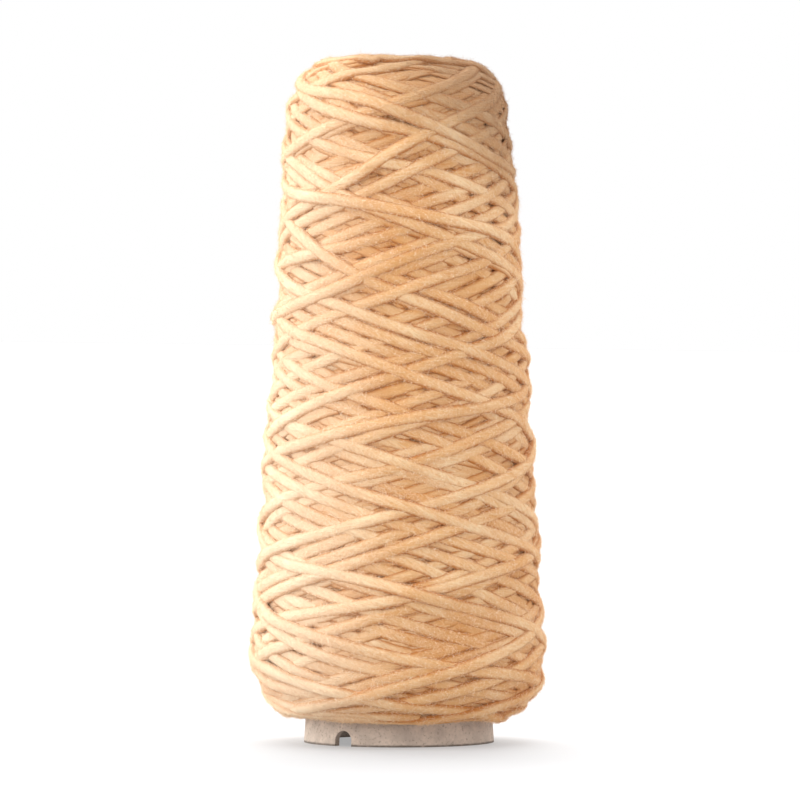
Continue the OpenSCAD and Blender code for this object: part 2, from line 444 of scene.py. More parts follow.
class Package:
    """The strands laid so far, as the height of their tops over the outline at each turn angle and s."""

    SOFT = 0.6 * MM  # the higher points under a strand share its load within this height
    EMBED = 0.3  # it sinks into them by this part of half its thickness
    PROBE = 0.7 * MM  # the slope under it is felt this far to either side
    SLIDE = 1.3 * MM  # it slides this far in one round on a slope of one
    SLIDES, PULLS = 14, 60  # rounds of sliding and of pulling tight
    SLACK = 4 * MM  # added to the radius that a taut strand bends round
    STEEPEST, MOST_TILT = 0.7, 0.6
    UNDER = np.linspace(-0.9, 0.9, 9)  # where it is supported and where its top is marked, across it
    OVER = np.linspace(-0.98, 0.98, 17)

    def __init__(self, outline):
        self.o = outline
        self.height = np.zeros((COLUMNS, len(outline.s)))
        self.level()

    def level(self):
        """Takes the mean height at each s off, so that the package stays as thick as the strands laid on it."""
        self.mean = ease(self.height.mean(0), 24)
        self.flat = self.height - self.mean

    def look_up(self, turn, s):
        """The height of what lies at a turn angle and s."""
        u = turn / FULL_TURN * COLUMNS
        v = np.clip(s / CELL, 0, len(self.o.s) - 1.001)
        i, j = np.floor(u).astype(int), v.astype(int)
        fu, fv = u - i, v - j
        i, k = i % COLUMNS, (i + 1) % COLUMNS
        low = self.flat[i, j] * (1 - fu) + self.flat[k, j] * fu
        high = self.flat[i, j + 1] * (1 - fu) + self.flat[k, j + 1] * fu
        return low * (1 - fv) + high * fv

    def across(self, turn, s):
        """The direction across the strand, as turn angle and s per metre."""
        r = self.o.at(s, self.o.r)
        along, up = np.gradient(turn) * r, np.gradient(s)
        length = np.hypot(along, up)
        return -up / length / r, along / length

    def seat(self, turn, s, width, thick, across):
        """How high the strand's middle rests on what is under it, sinking in a little."""
        side = self.UNDER * width[:, None] / 2
        under = self.look_up(turn[:, None] + across[0][:, None] * side, s[:, None] + across[1][:, None] * side)
        lift = under + self.EMBED * thick[:, None] / 2 * np.sqrt(1 - self.UNDER ** 2)
        top = lift.max(1)
        return top + self.SOFT * np.log(np.exp((lift - top[:, None]) / self.SOFT).mean(1))

    def slope(self, turn, s, width, thick, across):
        """How steeply the strand's seat rises towards the crown."""
        return (self.seat(turn, s + self.PROBE, width, thick, across)
                - self.seat(turn, s - self.PROBE, width, thick, across)) / (2 * self.PROBE)

    def lay(self, turn, plan, width, thick, stray):
        """Lays a strand along its plan: it slides into the hollows beside it and is pulled tight over the rest."""
        s = plan.copy()
        for _ in range(self.SLIDES):
            across = self.across(turn, s)
            fall = np.clip(-self.slope(turn, s, width, thick, across), -self.STEEPEST, self.STEEPEST)
            off = np.clip(s + self.SLIDE * fall - plan, -stray, stray)
            s = np.clip(plan + ease(off, 7), CELL, self.o.end - CELL)
        across = self.across(turn, s)
        rest = self.seat(turn, s, width, thick, across)
        r = self.o.at(s, self.o.r)
        step = np.hypot(np.gradient(turn) * r, np.gradient(s))
        sag = (step ** 2 / (2 * (r + self.SLACK)))[1:-1]
        h = rest.copy()
        for _ in range(self.PULLS):
            h[1:-1] = np.maximum(rest[1:-1], (h[:-2] + h[2:]) / 2 - sag)
        h = ease(h, 1)
        tilt = self.slope(turn, s, width, thick, across)
        raised = h + self.o.at(s, self.mean)
        self.pile(turn, s, raised, width, thick, across)
        return s, raised, ease(np.clip(tilt, -self.MOST_TILT, self.MOST_TILT), 3)

    def pile(self, turn, s, raised, width, thick, across):
        """Adds the strand's rounded top to the heights."""
        fine = np.linspace(0, len(turn) - 1, len(turn) * 8)
        knots = np.arange(len(turn))
        turn, s, raised, width, thick, a, b = (
            np.interp(fine, knots, row)[:, None] for row in (turn, s, raised, width, thick, *across))
        side = self.OVER * width / 2
        column = np.rint((turn + a * side) / FULL_TURN * COLUMNS).astype(int) % COLUMNS
        row = np.clip(np.rint((s + b * side) / CELL).astype(int), 0, len(self.o.s) - 1)
        top = raised + thick / 2 * np.sqrt(1 - self.OVER ** 2)
        np.maximum.at(self.height, (column.ravel(), row.ravel()), top.ravel())


def stroke_shape(u):
    """The guide's share of the way from foot to crown: it eases round at both ends, longer at the foot."""
    full = 1 - FOOT_EASE / 2 - CROWN_EASE / 2
    slow = u * u / (2 * FOOT_EASE)
    last = full - (1 - u) ** 2 / (2 * CROWN_EASE)
    return np.where(u < FOOT_EASE, slow, np.where(u > 1 - CROWN_EASE, last, u - FOOT_EASE / 2)) / full


def plan_strokes(rng, outline, sizes):
    """The guide's path, as turn angle, s and stroke number: inner strokes evenly spread, then the outer bands."""
    total = sizes.inner_strokes + sizes.outer_strokes
    ends = np.arange(1, total + 1) * (sizes.turns_a_stroke + sizes.band_step / 2)
    ends += STROKE_JITTER * rng.normal(size=total)
    rings = np.diff(np.rint(ends * RINGS_A_TURN).astype(int), prepend=0).tolist()
    step = FULL_TURN / RINGS_A_TURN
    turn = sizes.last_angle - sum(rings) * step + np.arange(sum(rings)) * step
    s = []
    last = END_MARGIN
    for k, count in enumerate(rings):
        u = np.linspace(0, 1, count, endpoint=False)
        if k % 2 == 0:
            target, share = outline.end - END_MARGIN - abs(rng.normal()) * CROWN_WANDER * MM, stroke_shape(u)
        else:
            target, share = END_MARGIN + abs(rng.normal()) * FOOT_WANDER * MM, 1 - stroke_shape(1 - u)
        s.append(last + (target - last) * share)
        last = target
    s = np.concatenate(s)
    loose = np.clip(np.minimum(s, outline.end - s) / CALM_ENDS, 0.1, 1)
    s += loose * waves(rng, len(s), PATH_WAVES) * MM
    return turn, s, np.repeat(np.arange(total), rings)


def steer(turn, s, stroke, outline):
    """Bends the nearest late pass over the front to each lead's heights. Returns how firmly each point is held."""
    held = np.zeros(len(s))
    used = set()
    for way, under, heights in LEADS:
        goal = outline.s_at(np.array(heights) * MM)
        late = [k for k in range(stroke[-1] - under, -1, -1) if (k % 2 == 0) == (way == "rising")][:LEAD_CHOICES]
        best = None
        for depth, k in enumerate(late):
            own = np.flatnonzero(stroke == k)
            first = math.ceil((turn[own[0]] - FRONT) / FULL_TURN)
            for lap in range(first, math.floor((turn[own[-1]] - FRONT) / FULL_TURN) + 1):
                middle = FRONT + FULL_TURN * lap
                cost = abs(np.interp(middle, turn[own], s[own]) - goal[2]) / MM + STROKE_COST * depth
                if (k, lap) not in used and (best is None or cost < best[0]):
                    best = (cost, k, lap, middle)
        _, k, lap, middle = best
        used.add((k, lap))
        near = np.flatnonzero(np.abs(turn - middle) <= math.pi)
        angle = turn[near] - middle
        pull = np.interp(angle, LEAD_ANGLES, goal - np.interp(middle + LEAD_ANGLES, turn, s))
        past = np.clip((np.abs(angle) - LEAD_ANGLES[-1]) / LEAD_FADE, 0, 1)
        s[near] += ease(pull * (1 + np.cos(math.pi * past)) / 2, 5)
        held[near] = np.maximum(held[near], past < 0.15)
    return ease(held, 6)


def press(depth):
    """Halves the ridges and closes up the hollows, as the tension does in soft yarn."""
    ridges, hollow, reach = 0.45, 1.9 * MM, 3.1 * MM
    return np.where(depth > 0, ridges * depth, hollow * np.expm1(np.minimum(depth, 0) / reach))


def wind(sizes):
    """Winds the whole package. Returns its strand as rows for each ring of the path."""
    rng = np.random.default_rng(WINDING_SEED)
    outline = Outline(sizes)
    turn, plan, stroke = plan_strokes(rng, outline, sizes)
    held = steer(turn, plan, stroke, outline)
    plan = np.clip(plan, MM, outline.end - MM)
    count = len(plan)
    slub = np.clip(1 + sizes.slub * waves(rng, count, SLUB_WAVES), *SLUB_RANGE)
    width, thick = sizes.strand_width * slub, sizes.strand_thickness * slub
    package = Package(outline)
    s, raised, tilt = np.zeros(count), np.zeros(count), np.zeros(count)
    for k in range(stroke[-1] + 1):
        own = np.flatnonzero(stroke == k)
        own = np.arange(own[0], min(own[-1] + 2, count))
        package.level()
        s[own], raised[own], tilt[own] = package.lay(
            turn[own], plan[own], width[own], thick[own], FREE_SLIDE * (1 - 0.8 * held[own]))
    package.level()
    top = raised + thick / 2 - outline.at(s, package.mean)
    across = package.across(turn, s)
    bare = [raised + thick / 2 * math.sqrt(1 - share ** 2) - outline.at(s, package.mean)
            - package.look_up(turn + across[0] * share * width / 2, s + across[1] * share * width / 2)
            for share in ACROSS]
    exposed = ease((np.max(bare, axis=0) > -JUST_UNDER).astype(float), 2)
    flat = np.clip(1.2 + top / PRESS_HEIGHT, 0.4, 1)
    depth = press(top) - flat * thick / 2 - sizes.bed
    tuck = np.arange(count)[::-1] / TUCK_RINGS
    depth -= TUCK_DEPTH * np.clip(1 - tuck, 0, 1) ** 2
    r, z = outline.at(s, outline.r), outline.at(s, outline.z)
    out_r, out_z = outline.at(s, outline.out_r), outline.at(s, outline.out_z)
    cos, sin = np.cos(turn), np.sin(turn)
    point = np.stack([(r + depth * out_r) * cos, (r + depth * out_r) * sin, z + depth * out_z], 1)
    out = np.stack([out_r * cos, out_r * sin, out_z], 1)
    up_s = np.stack([-out_z * cos, -out_z * sin, out_r], 1)
    tangent = unit(np.gradient(point, axis=0))
    face = out - 0.7 * tilt[:, None] * up_s
    face = unit(face - (face * tangent).sum(1, keepdims=True) * tangent)
    along = np.concatenate([[0], np.cumsum(np.linalg.norm(np.diff(point, axis=0), axis=1))])
    # The low value is the share of painted shade a strand takes for lying deep under the others
    return {"point": point, "face": face, "flat": ease(flat, 3), "slub": slub, "along": along, "exposed": exposed,
            "low": np.clip(-top / (4 * MM), 0, 1), "dye": np.clip(0.5 + waves(rng, count, DYE_WAVES), 0, 1),
            "stroke": stroke, "outline": outline}


def path_mesh(name, rows, part):
    """The part of the strand's path between two rings as a mesh of edges with the strand's attributes."""
    mesh = bpy.data.meshes.new(name)
    points = rows["point"][part]
    mesh.from_pydata(points.tolist(), [(i, i + 1) for i in range(len(points) - 1)], [])
    attribute(mesh, "centre", "FLOAT_VECTOR", points)
    attribute(mesh, "face", "FLOAT_VECTOR", rows["face"][part])
    for key in ("slub", "flat", "along", "exposed", "low", "dye"):
        attribute(mesh, key, "FLOAT", rows[key][part])
    return mesh


def strand_tree():
    """Sweeps a flattened round along the path, presses it flatter where it lies low, and marks its fibres' run."""
    tree = geometry_tree("Yarn strand", (
        ("Width", "NodeSocketFloat", 4.6 * MM),
        ("Thickness", "NodeSocketFloat", 3.4 * MM),
        ("Sides", "NodeSocketInt", 10),
        ("Twist", "NodeSocketFloat", 55 * MM),
        ("Finish", "NodeSocketMaterial", None)))
    start = node(tree, "NodeGroupInput").outputs
    face = named(tree, "face", "FLOAT_VECTOR")
    line = node(tree, "GeometryNodeMeshToCurve", {"Mesh": start["Geometry"]}).outputs["Curve"]
    line = node(tree, "GeometryNodeSetCurveNormal", {"Curve": line, "Normal": face}, mode="FREE").outputs["Curve"]
    line = node(tree, "GeometryNodeSetCurveRadius", {"Curve": line, "Radius": named(tree, "slub")}).outputs["Curve"]
    ring = node(tree, "GeometryNodeCurvePrimitiveCircle",
                {"Resolution": start["Sides"], "Radius": 0.5}).outputs["Curve"]
    ring = stored(tree, ring, "around", node(tree, "GeometryNodeSplineParameter").outputs["Factor"])
    size = node(tree, "ShaderNodeCombineXYZ", {"X": start["Thickness"], "Y": start["Width"], "Z": 1.0}).outputs[0]
    ring = node(tree, "GeometryNodeTransform", {"Geometry": ring, "Scale": size}).outputs["Geometry"]
    skin = node(tree, "GeometryNodeCurveToMesh",
                {"Curve": line, "Profile Curve": ring, "Fill Caps": True}).outputs["Mesh"]
    place = node(tree, "GeometryNodeInputPosition").outputs["Position"]
    place = node(tree, "ShaderNodeVectorMath",
                 {0: place, 1: named(tree, "centre", "FLOAT_VECTOR")}, operation="SUBTRACT").outputs[0]
    less = maths(tree, "SUBTRACT", named(tree, "flat"), 1.0)
    rise = scaled(tree, face, maths(tree, "MULTIPLY", dot(tree, place, face), less))
    skin = node(tree, "GeometryNodeSetPosition", {"Geometry": skin, "Offset": rise}).outputs["Geometry"]
    around, along = named(tree, "around"), named(tree, "along")
    turns = maths(tree, "SUBTRACT", around, maths(tree, "DIVIDE", along, start["Twist"]))
    lay = maths(tree, "MULTIPLY", turns, FULL_TURN)
    # Side is near 1 at the strand's edges, where the material paints crease shade
    side = maths(tree, "ABSOLUTE", maths(tree, "SINE", maths(tree, "MULTIPLY", around, FULL_TURN)))
    skin = stored(tree, skin, "side", side)
    place = node(tree, "ShaderNodeCombineXYZ",
                 {"X": maths(tree, "COSINE", lay), "Y": maths(tree, "SINE", lay), "Z": along}).outputs[0]
    skin = stored(tree, skin, "fibre_place", place, "FLOAT_VECTOR")
    skin = node(tree, "GeometryNodeSetShadeSmooth", {"Geometry": skin, "Shade Smooth": True}).outputs["Geometry"]
    skin = node(tree, "GeometryNodeRealizeInstances", {"Geometry": skin}).outputs["Geometry"]
    skin = node(tree, "GeometryNodeSetMaterial", {"Geometry": skin, "Material": start["Finish"]}).outputs["Geometry"]
    node(tree, "NodeGroupOutput", {"Geometry": skin})
    tidy(tree)
    return tree


def turned_core(outline, twist, material):
    """The yarn far down: a turned body, ridged like snug strands, that closes the gaps between the turns."""
    part = slice(12, len(outline.s) - 12, 2)
    s, r, z, out_r, out_z = (row[part] for row in (outline.s, outline.r, outline.z, outline.out_r, outline.out_z))
    bore_foot, bore_crown = outline.r[0] - 0.2 * MM, outline.r[-1] - 1.2 * MM
    rings, grooves, lays = [], [], []
    for step in range(CORE_COLUMNS):
        phase = s / CORE_PITCH + CORE_CLIMB * step / CORE_COLUMNS
        round_top = np.abs(np.sin(math.pi * phase))
        depth = CORE_SUNK + CORE_RIDGE * (1 - round_top)
        x, y = r - depth * out_r, z - depth * out_z
        bore = bore_foot + (bore_crown - bore_foot) * (y - y[0]) / (y[-1] - y[0])
        x = np.append(np.maximum(x, bore + MM), (bore_crown, bore_foot))
        y = np.append(y, (y[-1], y[0]))
        angle = FULL_TURN * step / CORE_COLUMNS
        rings.append(np.stack([x * math.cos(angle), x * math.sin(angle), y], 1))
        # The grooves between the ridges take the painted crease shade
        grooves.append(np.append(1 - round_top, (1, 1)))
        along = r * angle + 0.1 * np.floor(phase)
        lay = math.pi * phase - FULL_TURN * along / twist
        lays.append(np.append(np.stack([np.cos(lay), np.sin(lay), along], 1), np.zeros((2, 3)), 0))
    count = len(s) + 2
    here = np.arange(CORE_COLUMNS)[:, None] * count + np.arange(count)
    after = np.roll(here, -1, 0)
    faces = np.stack([here, after, np.roll(after, -1, 1), np.roll(here, -1, 1)], 2).reshape(-1, 4)
    mesh = bpy.data.meshes.new("yarn_core")
    mesh.from_pydata(np.concatenate(rings).tolist(), [], faces.tolist())
    attribute(mesh, "side", "FLOAT", np.concatenate(grooves))
    attribute(mesh, "fibre_place", "FLOAT_VECTOR", np.concatenate(lays))
    # The core takes the full painted shade of yarn low in the winding
    attribute(mesh, "low", "FLOAT", np.ones(CORE_COLUMNS * count))
    attribute(mesh, "dye", "FLOAT", np.full(CORE_COLUMNS * count, 0.4))
    shape = bmesh.new()
    shape.from_mesh(mesh)
    bmesh.ops.recalc_face_normals(shape, faces=shape.faces)
    for face in shape.faces:
        face.smooth = True
    shape.to_mesh(mesh)
    shape.free()
    mesh.materials.append(material)
    core = bpy.data.objects.new("yarn_core", mesh)
    bpy.context.scene.collection.objects.link(core)
    return core


# ---------------------------------------------------------------- fuzz


def fuzz_tree():
    """Scatters fine bent fibres over the part of the strands that shows."""
    tree = geometry_tree("Yarn fuzz", (
        ("Density", "NodeSocketFloat", 60000.0),
        ("Length", "NodeSocketFloat", 3 * MM),
        ("Rise", "NodeSocketFloat", 0.25),
        ("Thickness", "NodeSocketFloat", 0.07 * MM),
        ("Curl", "NodeSocketFloat", 0.6 * MM),
        ("Seed", "NodeSocketInt", 1),
        ("Finish", "NodeSocketMaterial", None)))
    start = node(tree, "NodeGroupInput").outputs

    def chance(low, high, number):
        return node(tree, "FunctionNodeRandomValue", {2: low, 3: high, "Seed": number}, data_type="FLOAT").outputs[1]

    normal = node(tree, "GeometryNodeInputNormal").outputs["Normal"]
    facing = ramp(tree, dot(tree, normal, named(tree, "face", "FLOAT_VECTOR")), -0.1, 0.5)
    density = maths(tree, "MULTIPLY", maths(tree, "MULTIPLY", named(tree, "exposed"), start["Density"]), facing)
    spread = node(tree, "GeometryNodeDistributePointsOnFaces",
                  {"Mesh": start["Geometry"], "Density": density, "Seed": start["Seed"]},
                  distribute_method="RANDOM")
    half = maths(tree, "MULTIPLY", start["Thickness"], 0.5)
    hair = node(tree, "GeometryNodeMeshCone",
                {"Vertices": 3, "Radius Top": 0.0, "Radius Bottom": half, "Depth": start["Length"]}).outputs["Mesh"]
    lean = maths(tree, "SUBTRACT", math.pi / 2, maths(tree, "ARCTANGENT", start["Rise"]))
    lean = node(tree, "ShaderNodeCombineXYZ", {"Y": lean}).outputs[0]
    hair = node(tree, "GeometryNodeTransform", {"Geometry": hair, "Rotation": lean}).outputs["Geometry"]
    heading = node(tree, "ShaderNodeCombineXYZ", {"Z": chance(0.0, FULL_TURN, 3)}).outputs[0]
    turned = node(tree, "FunctionNodeRotateRotation",
                  {"Rotation": spread.outputs["Rotation"], "Rotate By": heading}, rotation_space="LOCAL").outputs[0]
    grown = chance(0.45, 1.5, 4)
    scale = node(tree, "ShaderNodeCombineXYZ", {"X": grown, "Y": 1.0, "Z": chance(0.2, 1.6, 5)}).outputs[0]
    fuzz = node(tree, "GeometryNodeInstanceOnPoints",
                {"Points": spread.outputs["Points"], "Instance": hair, "Rotation": turned,
                 "Scale": scale}).outputs["Instances"]
    fuzz = node(tree, "GeometryNodeRealizeInstances", {"Geometry": fuzz}).outputs["Geometry"]
    bend = node(tree, "ShaderNodeTexNoise", {"Scale": 420.0, "Detail": 1.0}).outputs["Color"]
    bend = node(tree, "ShaderNodeVectorMath", {0: bend, 1: (0.5, 0.5, 0.5)}, operation="SUBTRACT").outputs[0]
    shift = scaled(tree, bend, start["Curl"])
    fuzz = node(tree, "GeometryNodeSetPosition", {"Geometry": fuzz, "Offset": shift}).outputs["Geometry"]
    fuzz = node(tree, "GeometryNodeSetMaterial", {"Geometry": fuzz, "Material": start["Finish"]}).outputs["Geometry"]
    node(tree, "NodeGroupOutput", {"Geometry": fuzz})
    tidy(tree)
    return tree


# ---------------------------------------------------------------- materials


def shader_group(name, inputs, outputs):
    """A new shader node group with named sockets."""
    group = bpy.data.node_groups.new(name, "ShaderNodeTree")
    for label, kind, default in inputs:
        socket = group.interface.new_socket(label, in_out="INPUT", socket_type=kind)
        if default is not None:
            socket.default_value = default
    for label, kind in outputs:
        group.interface.new_socket(label, in_out="OUTPUT", socket_type=kind)
    return group


def fibre_group():
    """Fibres that run round the strand: a height for bumps and a tone from deep to light."""
    group = shader_group("Spun fibres", (
        ("Place", "NodeSocketVector", None),
        ("Fineness", "NodeSocketFloat", 1.9),
        ("Length", "NodeSocketFloat", 130.0)),
        (("Height", "NodeSocketFloat"), ("Tone", "NodeSocketFloat")))
    start = node(group, "NodeGroupInput").outputs
    stretch = node(group, "ShaderNodeCombineXYZ",
                   {"X": start["Fineness"], "Y": start["Fineness"], "Z": start["Length"]}).outputs[0]
    place = stretched(group, start["Place"], stretch)
    coarse, fine = noise(group, place, 1.0, 2.0, 0.6), noise(group, place, 2.4, 2.0, 0.6)
    both = node(group, "ShaderNodeMix", {0: 0.45, 2: coarse, 3: fine}, data_type="FLOAT").outputs[0]
    node(group, "NodeGroupOutput", {"Height": both, "Tone": ramp(group, both, 0.36, 0.64)})
    tidy(group)
    return group


def mottle_group():
    """Slow patches, small flecks and a fine grain through a surface."""
    group = shader_group("Mottle", (
        ("Place", "NodeSocketVector", None),
        ("Patch", "NodeSocketFloat", 60.0),
        ("Fleck", "NodeSocketFloat", 900.0),
        ("Fleck share", "NodeSocketFloat", 0.1)),
        (("Patches", "NodeSocketFloat"), ("Flecks", "NodeSocketFloat"), ("Height", "NodeSocketFloat")))
    start = node(group, "NodeGroupInput").outputs
    patches = ramp(group, noise(group, start["Place"], start["Patch"], 3.0, 0.55), 0.3, 0.7)
    grain = noise(group, start["Place"], start["Fleck"], 2.0, 0.7)
    over = maths(group, "SUBTRACT", grain, maths(group, "SUBTRACT", 0.78, start["Fleck share"]))
    flecks = maths(group, "MULTIPLY", over, 14.0, clamp=True)
    node(group, "NodeGroupOutput", {"Patches": patches, "Flecks": flecks, "Height": grain})
    tidy(group)
    return group


def painted_light_group():
    """Masks for a painted highlight on the side towards the key light and for painted shade on the crown's upper right
    side.
    """
    group = shader_group("Weather", (
        ("Place", "NodeSocketVector", None),
        ("Patches", "NodeSocketFloat", 0.5)),
        (("Faded", "NodeSocketFloat"), ("Grimy", "NodeSocketFloat")))
    start = node(group, "NodeGroupInput").outputs
    # Painted highlight, growing away from the axis on the key light's side
    painted_highlight = dot(group, start["Place"], HIGHLIGHT_TOWARD)
    painted_highlight = ramp(group, painted_highlight, HIGHLIGHT_FROM, HIGHLIGHT_TO, 0.0, HIGHLIGHT_MOST, smooth=True)
    # Painted crown shade, coming on towards the upper right side with a ragged edge from the patches
    crown_shade_mask = maths(group, "MULTIPLY_ADD", start["Patches"], 0.008, dot(group, start["Place"], CROWN_SHADE_TOWARD))
    crown_shade_mask = ramp(group, crown_shade_mask, CROWN_SHADE_FROM, CROWN_SHADE_FROM + CROWN_SHADE_REACH, 0.0, CROWN_SHADE_MOST, smooth=True)
    node(group, "NodeGroupOutput", {"Faded": painted_highlight, "Grimy": crown_shade_mask})
    tidy(group)
    return group


def new_material(name):
    """A material with an empty tree but for its output and a Principled shader."""
    material = bpy.data.materials.new(name)
    material.use_nodes = True
    tree = material.node_tree
    tree.nodes.clear()
    shader = node(tree, "ShaderNodeBsdfPrincipled")
    node(tree, "ShaderNodeOutputMaterial", {"Surface": shader.outputs[0]})
    return material, tree, shader


def mix_colour(tree, share, low, high):
    """Two colours mixed by a share."""
    made = node(tree, "ShaderNodeMix", data_type="RGBA")
    for socket, value in zip((made.inputs[0], made.inputs[6], made.inputs[7]), (share, low, high)):
        if isinstance(value, bpy.types.NodeSocket):
            tree.links.new(value, socket)
        else:
            socket.default_value = (*value, 1)
    return made.outputs[2]


def set_inputs(shader, values):
    """Sets a shader's own constants."""
    for key, value in values.items():
        shader.inputs[key].default_value = value


def yarn_material(finish, fibres, mottle, painted_light_tree):
    """Soft spun wool: fine fibres round the strand and slow changes of dye, with painted shade low in the winding and
    in the creases, a painted highlight on the side towards the key light and painted shade on the crown's upper right
    side.
    """
    material, tree, shader = new_material("spun_yarn")

    def read(name, output="Fac"):
        return node(tree, "ShaderNodeAttribute", attribute_name=name, attribute_type="GEOMETRY").outputs[output]

    where = node(tree, "ShaderNodeTexCoord").outputs["Object"]
    spun = node(tree, "ShaderNodeGroup", {"Place": read("fibre_place", "Vector")}, node_tree=fibres).outputs
    patchy = node(tree, "ShaderNodeGroup", {"Place": where, "Patch": 42, "Fleck": 1800}, node_tree=mottle).outputs
    painted_light = node(tree, "ShaderNodeGroup", {"Place": where, "Patches": patchy["Patches"]}, node_tree=painted_light_tree).outputs
    tone = maths(tree, "MULTIPLY", spun["Tone"], 0.8)
    tone = maths(tree, "MULTIPLY_ADD", read("dye"), 0.6, tone)
    tone = maths(tree, "MULTIPLY_ADD", patchy["Height"], 0.7, tone)
    base = mix_colour(tree, maths(tree, "SUBTRACT", tone, 0.45), finish.mid, finish.light)
    base = mix_colour(tree, maths(tree, "MULTIPLY", patchy["Patches"], 0.95), base, finish.mid)
    # Painted highlight on the side towards the key light
    base = mix_colour(tree, painted_light["Faded"], base, finish.painted_highlight)
    # Painted shade on the strands that lie low in the winding
    base = mix_colour(tree, maths(tree, "MULTIPLY", read("low"), 0.3), base, finish.deep)
    # Painted crease shade on each strand's edges, held back under the painted highlight
    crease_shade = ramp(tree, read("side"), 0.45, 1.0, smooth=True)
    outside_highlight = maths(tree, "SUBTRACT", 1.0, painted_light["Faded"])
    base = mix_colour(tree, maths(tree, "MULTIPLY", crease_shade, outside_highlight), base, finish.crease_shade)
    # Painted shade on the crown's upper right side
    base = mix_colour(tree, painted_light["Grimy"], base, finish.crown_shade)
    tree.links.new(base, shader.inputs["Base Color"])
    rise = maths(tree, "MULTIPLY_ADD", patchy["Height"], 0.9, spun["Height"])
    bump = node(tree, "ShaderNodeBump", {"Strength": 1.0, "Distance": 0.9 * MM, "Height": rise}).outputs["Normal"]
    tree.links.new(bump, shader.inputs["Normal"])
    set_inputs(shader, {"Roughness": 0.92, "Specular IOR Level": 0.25, "Sheen Weight": 0.2,
                        "Sheen Roughness": 0.5, "Sheen Tint": (1.0, 0.82, 0.6, 1)})
    return material


def fuzz_material(finish, painted_light_tree):
    """Single fibres, from pale to nearly the yarn's own colour."""
    material, tree, shader = new_material("yarn_fuzz")
    where = node(tree, "ShaderNodeTexCoord").outputs["Object"]
    pale = tuple(0.85 * part + 0.15 for part in finish.light)
    warm = tuple(0.6 * part + 0.4 * lighter for part, lighter in zip(finish.mid, finish.light))
    base = mix_colour(tree, ramp(tree, noise(tree, where, 900.0, 1.0), 0.35, 0.65), warm, pale)
    painted_light = node(tree, "ShaderNodeGroup", {"Place": where}, node_tree=painted_light_tree).outputs
    # The same painted highlight and painted crown shade as on the strands
    base = mix_colour(tree, painted_light["Faded"], base, finish.painted_highlight)
    base = mix_colour(tree, painted_light["Grimy"], base, finish.crown_shade)
    tree.links.new(base, shader.inputs["Base Color"])
    set_inputs(shader, {"Roughness": 0.7, "Specular IOR Level": 0.3})
    return material


def board_material(name, colour, finish, mottle, ply, painted_light):
    """Grey-brown paperboard: pulp flecks, faint lines of its plies, and a dark line of painted contact shade along its
    foot.
    """
    material, tree, shader = new_material(name)

    def darker(share):
        return tuple(share * part for part in colour)

    where = node(tree, "ShaderNodeTexCoord").outputs["Object"]
    patchy = node(tree, "ShaderNodeGroup", {"Place": where, "Patch": 220, "Fleck": 1100, "Fleck share": 0.18},
                  node_tree=mottle).outputs
    base = mix_colour(tree, patchy["Patches"], darker(0.7), colour)
    base = mix_colour(tree, ramp(tree, patchy["Height"], 0.35, 0.65, 0.0, 0.3), base, darker(0.55))
    base = mix_colour(tree, maths(tree, "MULTIPLY", patchy["Flecks"], 0.45), base, finish.fleck)
    # Painted contact shade: a ragged dark band in the lowest millimetre, where the tube stands on the floor
    height = node(tree, "ShaderNodeSeparateXYZ", {0: where}).outputs["Z"]
    contact_shade = ramp(tree, height, 0.35 * MM, 0.9 * MM, painted_light, 0.0)
    contact_shade = maths(tree, "MULTIPLY", contact_shade, noise(tree, where, 500.0, 3.0))
    contact_shade = maths(tree, "MULTIPLY", contact_shade, 2.2, clamp=True)
    base = mix_colour(tree, contact_shade, base, darker(0.25))
    tree.links.new(base, shader.inputs["Base Color"])
    lines = noise(tree, stretched(tree, where, (60.0, 60.0, ply)), 1.0, 4.0)
    rise = maths(tree, "MULTIPLY_ADD", patchy["Height"], 0.5, lines)
    bump = node(tree, "ShaderNodeBump", {"Strength": 0.7, "Distance": 0.25 * MM, "Height": rise}).outputs["Normal"]
    tree.links.new(bump, shader.inputs["Normal"])
    tree.links.new(ramp(tree, patchy["Patches"], 0.0, 1.0, 0.78, 0.92), shader.inputs["Roughness"])
    set_inputs(shader, {"Specular IOR Level": 0.3})
    return material


# ---------------------------------------------------------------- operators


def keep(piece):
    """Every piece of the cone rides on its one body."""
    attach(piece, "root")
    return piece


class FinishBoard(bpy.types.Operator):
    """Gives the paperboard tube and its paper wrap their finish"""

    bl_idname = "yarn_cone.finish_board"
    bl_label = "Finish the board"

    def execute(self, context):
        finish = context.scene.yarn_cone_board
        mottle = bpy.data.node_groups.get("Mottle") or mottle_group()
        # The last number sets how strong the painted contact shade along the foot is
        for piece, material in (
                ("board_cone", board_material("tube_board", finish.board, finish, mottle, 1800.0, 0.5)),
                ("paper_wrap", board_material("tube_wrap", finish.wrap, finish, mottle, 700.0, 1.0))):
            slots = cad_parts[piece].material_slots
            if not slots:
                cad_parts[piece].data.materials.append(material)
            for each in slots:
                each.material = material
        return {"FINISHED"}


